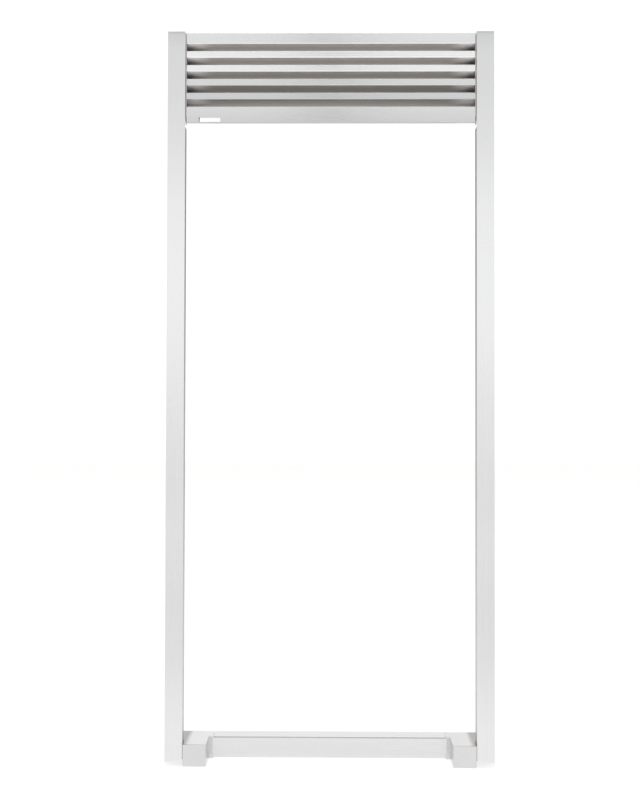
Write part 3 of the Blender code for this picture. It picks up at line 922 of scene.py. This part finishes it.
blades = grille_strip(
    "louver_blades",
    blade_fold(grille_front, first_blade[1].z, first_blade[1].z - blade_face),
    BLADE_NODES,
    copies=len(BLADE_NODES),
    pitch=blade_pitch,
)
finish_grille_piece(blades, BLADE_NODES)

top_rail = grille_strip(
    "grille_top_band",
    blade_fold(grille_front, grille_high.z, top_low),
    ["grille_top_rail"],
)
finish_grille_piece(top_rail, ["grille_top_rail"])

# The bottom band has a flat flange underneath, and a long narrow finger slot
# punched near its left end.
SLOT_CLEARANCE = 0.0003
SLOT_CUT_AHEAD = 0.01
SLOT_CUT_BEHIND = 3 * SHEET
BOTTOM_FLANGE = 0.006
liner_low, liner_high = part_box("finger_slot_liner")
rail_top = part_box("grille_bottom_rail")[1].z
bottom_rail = grille_strip(
    "grille_bottom_band",
    [
        (grille_front + TOP_RETURN, rail_top),
        (grille_front, rail_top),
        (grille_front, grille_low.z),
        (grille_front + BOTTOM_FLANGE, grille_low.z),
    ],
    ["grille_bottom_rail"],
)
bm = bmesh.new()
block(
    bm,
    (
        liner_low.x - SLOT_CLEARANCE,
        grille_front - SLOT_CUT_AHEAD,
        liner_low.z - SLOT_CLEARANCE,
    ),
    (
        liner_high.x + SLOT_CLEARANCE,
        grille_front + SLOT_CUT_BEHIND,
        liner_high.z + SLOT_CLEARANCE,
    ),
)
cut_away(bottom_rail, bm)
finish_grille_piece(bottom_rail, ["grille_bottom_rail"])

# The strips' ends are welded to an upright plate each side, with a flange
# turned in behind that meets the rubber stop.
END_FLANGE = 0.014
PLATE_EDGE = 0.0008
PLATE_PAINTED_SHADE_DARK = (0.10, 0.092, 0.086, 1.0)
PLATE_PAINTED_SHADE_LIGHT = (0.20, 0.188, 0.178, 1.0)


def plate_side(board, where, placed):
    """The end plates are bright only on their front edge; behind it they carry mottled painted
    shade, near black.
    """
    behind = board.remap(placed.output("Y"), LEAF_START - PLATE_EDGE, LEAF_START, 0.0, 1.0)
    # Painted shade: near black behind the front edge, mottled by cloudy noise.
    blotches = clouds(board, where, **BLOTCHES)
    return behind, board.blend(blotches, PLATE_PAINTED_SHADE_DARK, PLATE_PAINTED_SHADE_LIGHT)


plate_finish = brushed_steel("brushed_stainless_end_plate", "Z", hidden=plate_side)
for label, side in SIDES:
    node = "grille_end_plate_" + label
    low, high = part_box(node)
    outer = low.x if side < 0 else high.x
    plate = folded_piece(
        node + "_folded",
        [(outer, low.y), (outer, high.y), (outer - side * END_FLANGE, high.y)],
        (0.0, low.y),
        plate_finish,
        (low.z, high.z),
        upright=True,
    )
    pin = seat_of("grille_pivot_pin_" + label)
    bm = bmesh.new()
    drill(bm, (outer, pin.y, pin.z), PIN_HOLE, SHORT_DRILL)
    cut_away(plate, bm)
    finish_grille_piece(plate, [node])


# ---------------------------------------------------------------------------
# Toe corners: a boxed foot each side with a narrow tab beside the kick bar,
# folded from one blank and left open at the back. It widens behind the trim's
# inner return, and two screws through that return hold it.
# ---------------------------------------------------------------------------

FOOT_WIDTH = 0.060
REAR_WIDENING = 0.022
REAR_CLEARANCE = 0.0024
REAR_LIFT = 0.024
bar_low, bar_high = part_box("toe_kick_bar")
FOOT_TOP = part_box("left_toe_corner")[1].z
TOP_SHARE = 0.0006
# Painted highlight on each foot's top, turning to painted shade where it runs in behind the
# trim.
TOP_PAINTED_HIGHLIGHT = (0.98, 0.98, 0.98, 1.0)
TOP_PAINTED_SHADE = (0.58, 0.555, 0.545, 1.0)
TOP_SHADE_FROM = 0.020
TOP_SHADE_FULL_AT = 0.004
TOP_SHADE_WANDER = 0.008
FOOT_DRILL = 0.03
FOOT_BEND_ANGLE = math.radians(25.0)
NEARLY = 1e-5


def foot_top(board, where, placed):
    """A foot's top: a painted highlight, and painted shade where it runs in behind the trim."""
    below_top = placed.output("Z") - FOOT_TOP
    on_top = board.remap(below_top, -2 * TOP_SHARE, -TOP_SHARE, 0.0, 1.0)
    across = board.size_of(placed.output("X"))
    from_trim = across + wandering_shade_edge(board, where, TOP_SHADE_WANDER) - RETURN_REACH
    near = board.remap(from_trim, -TOP_SHADE_FROM, -TOP_SHADE_FULL_AT, 0.0, 1.0)
    return on_top, board.blend(near, TOP_PAINTED_HIGHLIGHT, TOP_PAINTED_SHADE)


foot_grain = brushed_steel("brushed_stainless_foot", "X", tone=0.67, hidden=foot_top)


def toe_corner(label, side):
    """A whole foot: the bent box, its hidden widening and its screw holes."""
    low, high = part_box(label + "_toe_corner")
    wide = low.x if side < 0 else high.x
    tab = high.x if side < 0 else low.x
    outer = wide - side * REAR_WIDENING
    foot = outer - side * FOOT_WIDTH
    step = low.y + TRIM_RETURN + REAR_CLEARANCE
    plan = [
        (outer, low.y),
        (foot, low.y),
        (foot, bar_low.y),
        (tab, bar_low.y),
        (tab, high.y),
        (wide, high.y),
        (wide, step),
        (outer, step),
    ]
    bm = bmesh.new()
    prism(bm, [(x, y, low.z) for x, y in plan], (0.0, 0.0, high.z - low.z))
    open_sides = [
        f for f in bm.faces
        if abs(f.calc_center_median().y - high.y) < NEARLY
        or abs(f.calc_center_median().x - tab) < NEARLY
    ]
    bmesh.ops.delete(bm, geom=open_sides, context="FACES_ONLY")
    name = label + "_toe_corner_folded"
    corner = place(name, plain_mesh(name, bm))
    corner.data.materials.append(foot_grain)
    bends = corner.modifiers.new("bends", "BEVEL")
    bends.width = BEND
    bends.segments = BEND_STEPS
    bends.limit_method = "ANGLE"
    bends.angle_limit = FOOT_BEND_ANGLE
    wall = corner.modifiers.new("wall", "SOLIDIFY")
    wall.thickness = SHEET
    wall.offset = -1.0
    wall.use_even_offset = True
    settle(corner)
    bm = bmesh.new()
    block(
        bm,
        (outer + side * (BEND + SHEET), step - SHEET, low.z - high.z),
        (outer + side * 2 * REAR_WIDENING, high.y + SHEET, REAR_LIFT),
    )
    for seat in SCREW_SEATS:
        if seat.x * side > 0 and seat.z < high.z:
            drill(bm, seat, SCREW_HOLE, FOOT_DRILL)
    cut_away(corner, bm)
    soften(corner)
    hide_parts(label + "_toe_corner")
    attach(corner, "frame")


for label, side in SIDES:
    toe_corner(label, side)


# ---------------------------------------------------------------------------
# Toe kick bar: a brushed channel between the corners, open to the back, that
# slips over a flat tongue at each end and pulls straight off.
# ---------------------------------------------------------------------------

BAR_LIP = 0.012
# Painted reflection: a dark line along the bar's top bend and a brighter top face.
BAR_PAINTED_LIGHT_BY_HEIGHT = (
    (bar_low.z, 1.03),
    (bar_high.z - 0.0030, 1.03),
    (bar_high.z - 0.0018, 0.66),
    (bar_high.z - 0.0006, 0.62),
    (bar_high.z - 0.0002, 1.12),
    (bar_high.z, 1.14),
)
bar_grain = brushed_steel("brushed_stainless_bar", "X", painted_light_by_height=BAR_PAINTED_LIGHT_BY_HEIGHT)
bar = folded_piece(
    "toe_kick_channel",
    [
        (bar_high.y, bar_high.z),
        (bar_low.y, bar_high.z),
        (bar_low.y, bar_low.z),
        (bar_low.y + BAR_LIP, bar_low.z),
    ],
    (bar_high.y, bar_low.z),
    bar_grain,
    (bar_low.x, bar_high.x),
)
soften(bar)
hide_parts("toe_kick_bar")
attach(bar, "toe_kick")


# ---------------------------------------------------------------------------
# Hidden steel: the header tray that ties the trims, the tongues inside the
# feet and the stop brackets, of cold rolled sheet left with its dull mill
# finish. The small sleeve that lines the finger slot is brushed, with a
# painted highlight on its walls and painted shade at its left end.
# ---------------------------------------------------------------------------

MILL_DARK = (0.23, 0.225, 0.22, 1.0)
MILL_PALE = (0.44, 0.435, 0.425, 1.0)
MILL_BLOTCHES = {"Scale": 42.0, "Detail": 5.0, "Roughness": 0.6}
MILL_ROLLED = (14.0, 520.0, 520.0)
MILL_LINES = {"Scale": 1.0, "Detail": 2.0}
MILL_SPECKS = {"Scale": 900.0, "Detail": 1.0}
MILL_DUST_RANGE = (0.60, 0.74)
MILL_SHADE_RANGE = (0.30, 0.70)
MILL_RELIEF = 0.25
MILL_DEPTH = 0.0002

dull_steel, board = new_finish("mill_finish_steel")
where = spot_on_piece(board)
blotch = clouds(board, where, **MILL_BLOTCHES)
rolled = board.node("ShaderNodeMapping", None, {"Vector": where, "Scale": MILL_ROLLED})
lines = clouds(board, rolled, **MILL_LINES)
dust = board.remap(clouds(board, where, **MILL_SPECKS), *MILL_DUST_RANGE, 0.0, 1.0)
shade = blotch * 0.6 + lines * 0.4 - dust * 0.18
spread = board.remap(shade, *MILL_SHADE_RANGE, 0.0, 1.0, False)
coat(board, {
    "Base Color": board.blend(spread, MILL_DARK, MILL_PALE),
    "Metallic": 1.0,
    "Roughness": 0.38 + blotch * 0.2 + dust * 0.1,
    "Normal": relief(board, MILL_RELIEF, MILL_DEPTH, blotch + lines * 0.5),
})
SLEEVE_END_PAINTED_SHADE_DARK = (0.03, 0.026, 0.023, 1.0)
SLEEVE_END_PAINTED_SHADE_PALE = (0.06, 0.052, 0.046, 1.0)
SLEEVE_END_EDGE = 0.0016
SLEEVE_END_STOP = 0.0022
SLEEVE_MOTTLE = (0.3, 0.7)


def sleeve_end(board, where, placed):
    """The sleeve: a painted highlight all over, but for mottled painted shade, near black, at
    its left end.
    """
    along = placed.output("X") - liner_low.x
    at_end = board.remap(along, SLEEVE_END_EDGE, SLEEVE_END_STOP, 1.0, 0.0)
    mottled = board.remap(clouds(board, where, **BLOTCHES), *SLEEVE_MOTTLE, 0.0, 1.0)
    return at_end, board.blend(mottled, SLEEVE_END_PAINTED_SHADE_DARK, SLEEVE_END_PAINTED_SHADE_PALE)


# The high tone of 0.90 is a painted highlight on the sleeve's walls.
sleeve_steel = brushed_steel("brushed_stainless_sleeve", "X", tone=0.90, hidden=sleeve_end)


def refinish(node, finish):
    """Give a CAD node a finish without touching its shape."""
    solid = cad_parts[node]
    if not solid.material_slots:
        solid.data.materials.append(finish)
    for held in solid.material_slots:
        held.link = "OBJECT"
        held.material = finish


for node in (
    "top_header",
    "left_toe_tongue",
    "right_toe_tongue",
    "grille_stop_bracket_left",
    "grille_stop_bracket_right",
):
    refinish(node, dull_steel)
refinish("finger_slot_liner", sleeve_steel)


# ---------------------------------------------------------------------------
# Screws and pivot pins: cold headed steel with a clear zinc plate, driven
# from inside the trims. The screws have a cross recess and a rolled thread;
# the pins have a small square dimple in the head and a smooth shank.
# ---------------------------------------------------------------------------

ZINC_BLUE = (0.50, 0.52, 0.55, 1.0)
ZINC_YELLOW = (0.74, 0.73, 0.66, 1.0)
ZINC_BLOOM = {"Scale": 160.0, "Detail": 3.0}
ZINC_PITS = {"Scale": 2600.0, "Detail": 1.0}
ZINC_RELIEF = 0.2
ZINC_DEPTH = 0.0001

zinc, board = new_finish("clear_zinc_plate")
where = spot_on_piece(board)
bloom = clouds(board, where, **ZINC_BLOOM)
coat(board, {
    "Base Color": board.blend(bloom, ZINC_BLUE, ZINC_YELLOW),
    "Metallic": 1.0,
    "Roughness": 0.24 + bloom * 0.14,
    "Normal": relief(board, ZINC_RELIEF, ZINC_DEPTH, clouds(board, where, **ZINC_PITS)),
})

turning, board, given = new_shape_tree("turned_fasteners", [
    ("Sides", "NodeSocketInt"),
    ("Recess width", "NodeSocketFloat"),
    ("Recess depth", "NodeSocketFloat"),
    ("Recess span", "NodeSocketFloat"),
    ("Head top", "NodeSocketFloat"),
    ("Seats", "NodeSocketObject"),
    ("Finish", "NodeSocketMaterial"),
])
axis_line = board.node("GeometryNodeMeshToCurve", None, {0: given["Geometry"]})
girth = board.node("GeometryNodeInputNamedAttribute", {"data_type": "FLOAT"}, {"Name": "girth"})
ring = board.node(
    "GeometryNodeCurvePrimitiveCircle",
    None,
    {"Radius": 1.0, "Resolution": given["Sides"]},
)
body = board.node(
    "GeometryNodeCurveToMesh",
    None,
    {"Curve": axis_line, "Profile Curve": ring, "Scale": girth, "Fill Caps": True},
)
head_place = board.node("ShaderNodeCombineXYZ", None, {"Z": given["Head top"]})
recess = []
for wide, long in (("Recess span", "Recess width"), ("Recess width", "Recess span")):
    size = board.node(
        "ShaderNodeCombineXYZ",
        None,
        {"X": given[wide], "Y": given[long], "Z": given["Recess depth"] * 2.0},
    )
    wing = board.node("GeometryNodeMeshCube", None, {"Size": size})
    recess.append(board.node(
        "GeometryNodeTransform",
        None,
        {"Geometry": wing, "Translation": head_place},
    ))
driven = board.node(
    "GeometryNodeMeshBoolean",
    {"operation": "DIFFERENCE", "solver": "EXACT"},
    {"Mesh 1": body, "Mesh 2": recess},
)
seats = board.node(
    "GeometryNodeObjectInfo",
    {"transform_space": "ORIGINAL"},
    {"Object": given["Seats"]},
)
seat_points = seats.output("Geometry")
facing = board.node(
    "GeometryNodeInputNamedAttribute",
    {"data_type": "FLOAT_VECTOR"},
    {"Name": "facing"},
)
turned_to = board.node("FunctionNodeAlignRotationToVector", {"axis": "Z"}, {"Vector": facing})
seated = board.node(
    "GeometryNodeInstanceOnPoints",
    None,
    {"Points": seat_points, "Instance": driven, "Rotation": turned_to},
)
realized = board.node("GeometryNodeRealizeInstances", None, {"Geometry": seated})
dressed = board.node(
    "GeometryNodeSetMaterial",
    None,
    {"Geometry": realized, "Material": given["Finish"]},
)
board.node("NodeGroupOutput", None, {0: dressed})


TURNED_CORNER = math.radians(28.0)


def fasteners(name, profile, nodes, head_height, recess):
    """Turned fasteners at their CAD nodes' seats, heads outwards, as one plain mesh."""
    points = [(0.0, 0.0, z) for z, _ in profile]
    mesh = bpy.data.meshes.new(name)
    mesh.from_pydata(points, [(i, i + 1) for i in range(len(points) - 1)], [])
    girths = [r for _, r in profile]
    mesh.attributes.new("girth", "FLOAT", "POINT").data.foreach_set("value", girths)
    spots, ways = [], []
    for node in nodes:
        low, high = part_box(node)
        side = -1.0 if high.x < 0 else 1.0
        head = low.x if side < 0 else high.x
        spots.append((head - side * head_height, (low.y + high.y) / 2, (low.z + high.z) / 2))
        ways += [side, 0.0, 0.0]
    seat_mesh = bpy.data.meshes.new(name + "_seats")
    seat_mesh.from_pydata(spots, [], [])
    seat_mesh.attributes.new("facing", "FLOAT_VECTOR", "POINT").data.foreach_set("vector", ways)
    seat_marks = place(name + "_seats", seat_mesh)
    piece = place(name, mesh)
    run_tree(
        piece,
        turning,
        sides=ROUND_SIDES,
        recess_width=recess[0],
        recess_depth=recess[1],
        recess_span=recess[2],
        head_top=head_height,
        seats=seat_marks,
        finish=zinc,
    )
    bpy.data.objects.remove(seat_marks, do_unlink=True)
    soften(piece, TURNED_CORNER)
    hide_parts(*nodes)
    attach(piece, "frame")
    return piece


SEAT_STEP = 0.00001
SCREW_HEAD = 0.0018
SCREW_HEAD_RADIUS = 0.0036
SCREW_DOME = ((1.0, 0.62), (0.93, 0.80), (0.76, 0.93), (0.50, 1.0))
SCREW_RIM = 0.0002
SCREW_RIM_SHARE = 0.97
SCREW_RECESS = (0.0009, 0.0010, 0.0038)
SHANK_RADIUS = 0.0018
SHANK_LENGTH = 0.008
THREAD_START = 0.0010
THREAD_PITCH = 0.0008
THREAD_DEPTH = 0.0003
THREAD_ROOT = 0.45
UNTHREADED = 0.0022
TIP_LENGTH = 0.0006
TIP_SHARE = 0.55

screw_profile = [(SCREW_HEAD * up, SCREW_HEAD_RADIUS * out) for up, out in SCREW_DOME]
screw_profile += [
    (SCREW_RIM, SCREW_HEAD_RADIUS),
    (0.0, SCREW_HEAD_RADIUS * SCREW_RIM_SHARE),
    (-SEAT_STEP, SHANK_RADIUS),
]
for index in range(int((SHANK_LENGTH - UNTHREADED) / THREAD_PITCH)):
    crest = -THREAD_START - index * THREAD_PITCH
    root = crest - THREAD_PITCH * THREAD_ROOT
    screw_profile += [(crest, SHANK_RADIUS), (root, SHANK_RADIUS - THREAD_DEPTH)]
screw_profile += [
    (-SHANK_LENGTH + TIP_LENGTH, SHANK_RADIUS),
    (-SHANK_LENGTH, SHANK_RADIUS * TIP_SHARE),
]
screws = fasteners(
    "cross_recess_screws",
    screw_profile,
    SCREW_NODES,
    SCREW_HEAD,
    SCREW_RECESS,
)

PIN_HEAD = 0.0015
PIN_HEAD_RADIUS = 0.0045
PIN_DOME = ((1.0, 0.80), (0.90, 0.92), (0.65, 1.0), (0.0, 1.0))
PIN_DIMPLE = (0.0010, 0.0003, 0.0010)
PIN_RADIUS = 0.0025
PIN_TIP_LENGTH = 0.0007
PIN_TIP_SHARE = 0.70
PIN_NODES = ["grille_pivot_pin_left", "grille_pivot_pin_right"]
pin_low, pin_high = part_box(PIN_NODES[1])
pin_length = pin_high.x - pin_low.x - PIN_HEAD
pin_profile = [(PIN_HEAD * up, PIN_HEAD_RADIUS * out) for up, out in PIN_DOME]
pin_profile += [
    (-SEAT_STEP, PIN_RADIUS),
    (-pin_length + PIN_TIP_LENGTH, PIN_RADIUS),
    (-pin_length, PIN_RADIUS * PIN_TIP_SHARE),
]
pins = fasteners("grille_pivot_pins", pin_profile, PIN_NODES, PIN_HEAD, PIN_DIMPLE)


# ---------------------------------------------------------------------------
# Stop pads: small moulded black rubber buttons stuck to the stop brackets,
# which the grille's rear flange closes against.
# ---------------------------------------------------------------------------

RUBBER_BLACK = (0.018, 0.018, 0.019, 1.0)
RUBBER_BLOOM = (0.050, 0.049, 0.047, 1.0)
RUBBER_GRIT = {"Scale": 1800.0, "Detail": 2.0}
RUBBER_CHALK = {"Scale": 210.0, "Detail": 4.0}
RUBBER_CHALK_RANGE = (0.45, 0.75)
RUBBER_RELIEF = 0.35
RUBBER_DEPTH = 0.0001

rubber, board = new_finish("moulded_black_rubber")
where = spot_on_piece(board)
bloom = board.remap(clouds(board, where, **RUBBER_CHALK), *RUBBER_CHALK_RANGE, 0.0, 1.0)
coat(board, {
    "Base Color": board.blend(bloom, RUBBER_BLACK, RUBBER_BLOOM),
    "Roughness": 0.62 + bloom * 0.2,
    "Normal": relief(board, RUBBER_RELIEF, RUBBER_DEPTH, clouds(board, where, **RUBBER_GRIT)),
})
for label, _ in SIDES:
    refinish("grille_stop_pad_" + label, rubber)
